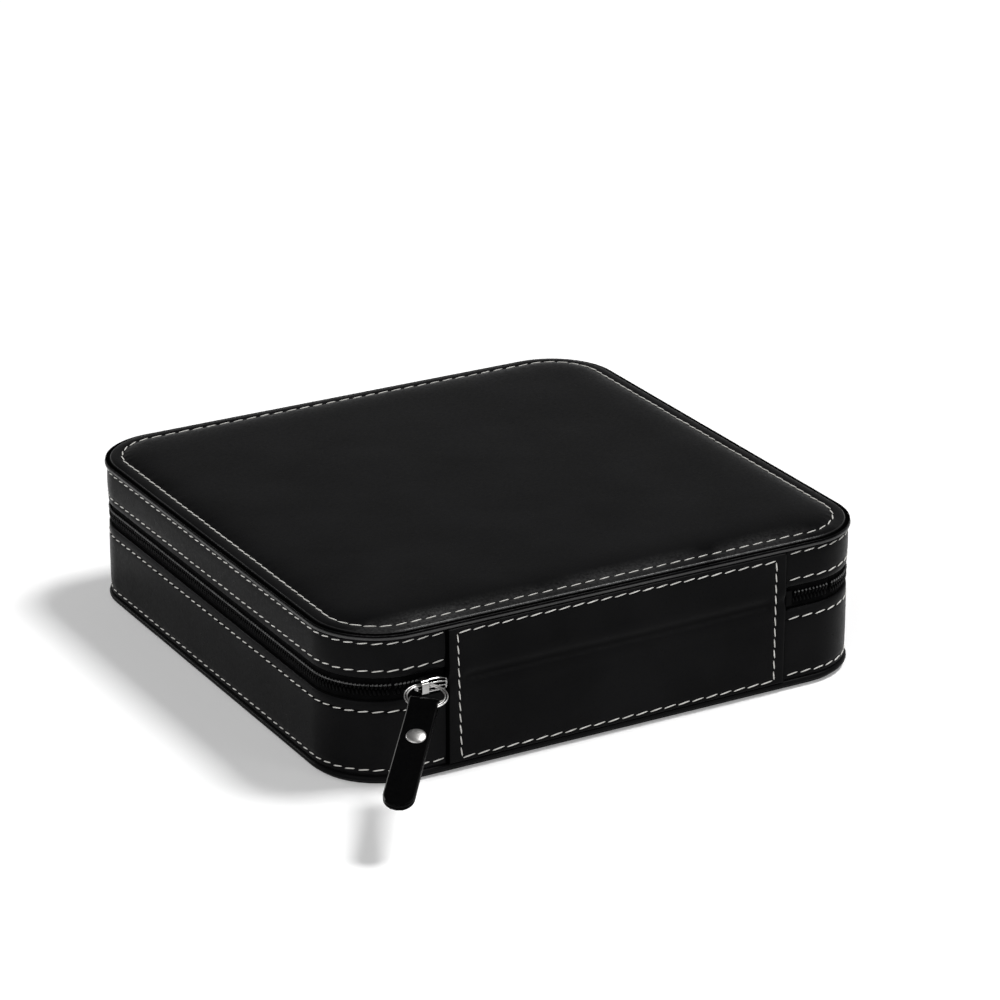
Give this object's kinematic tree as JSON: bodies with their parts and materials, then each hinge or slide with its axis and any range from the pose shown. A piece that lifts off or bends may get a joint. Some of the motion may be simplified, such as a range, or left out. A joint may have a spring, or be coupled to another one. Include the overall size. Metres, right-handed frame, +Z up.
{
  "type": "watch travel case",
  "caption": "Flat square case with rounded corners, padded lid, zip round three sides, leather hinge panel and cushioned cells for watches.",
  "frame": {"origin": "centre of the case's flat bottom face", "axes": "+Z up out of the padded lid, +X along the hinge, -Y towards the hinge panel and the zip's ends"},
  "size_m": [0.1882, 0.2224, 0.0488],
  "materials": {
    "case_leather": "smooth satin imitation leather with a fine grain",
    "lining_cloth": "short-pile velvet",
    "pillow_cloth": "short-pile velvet",
    "board": "pressed grey board",
    "foam": "soft open foam",
    "zip_tape": "fine twill tape",
    "zip_coil": "satin nylon coil",
    "nickel": "bright nickel plate"
  },
  "bodies": {
    "base": {"bottom_leather": "case_leather", "bottom_piping": "case_leather", "base_side_leather": "case_leather", "base_floor_board": "board", "base_wall_frame": "board", "base_floor_lining": "lining_cloth", "base_wall_lining": "lining_cloth", "hinge_panel_lower": "case_leather", "hinge_lining_lower": "lining_cloth", "zip_tape_lower": "zip_tape", "zip_tape_end_left": "zip_tape", "zip_tape_end_right": "zip_tape", "zip_teeth_lower": "zip_coil", "zip_chain_end_left": "zip_coil", "zip_chain_end_right": "zip_coil", "zip_end_stop": "zip_coil", "divider_long": "lining_cloth", "divider_left": "lining_cloth", "divider_right": "lining_cloth", "watch_pillow_1": "pillow_cloth", "watch_pillow_2": "pillow_cloth", "watch_pillow_3": "pillow_cloth", "watch_pillow_4": "pillow_cloth", "watch_pillow_5": "pillow_cloth", "watch_pillow_6": "pillow_cloth"},
    "lid": {"lid_side_leather": "case_leather", "lid_piping": "case_leather", "lid_top_board": "board", "lid_wall_frame": "board", "lid_wall_lining": "lining_cloth", "lid_lining_pad": "lining_cloth", "lid_foam_pad": "foam", "lid_top_leather": "case_leather", "hinge_panel_upper": "case_leather", "hinge_lining_upper": "lining_cloth", "zip_tape_upper": "zip_tape", "zip_teeth_upper": "zip_coil"},
    "slider": {"slider_body": "nickel", "slider_bridge": "nickel"},
    "ring": {"pull_ring": "nickel"},
    "puller": {"puller_strap": "case_leather", "puller_rivet": "nickel"}
  },
  "joints": [
    {"name": "lid_hinge", "type": "hinge", "parent": "base", "child": "lid", "pos_m": [0, -0.0894, 0.0296], "axis": [1, 0, 0], "range_deg": [0, 80]},
    {"name": "slider_travel", "type": "slide", "parent": "base", "child": "slider", "axis": [-1, 0, 0], "range_m": [0, 0.003]},
    {"name": "ring_swing", "type": "hinge", "parent": "slider", "child": "ring", "pos_m": [-0.0661, -0.09077, 0.0307], "axis": [0.9426, -0.3338, 0], "range_deg": [-5, 35]},
    {"name": "tab_swing", "type": "hinge", "parent": "ring", "child": "puller", "pos_m": [-0.07144, -0.10064, 0.02885], "axis": [0.799, -0.5993, -0.0499], "range_deg": [-12, 12]}
  ]
}
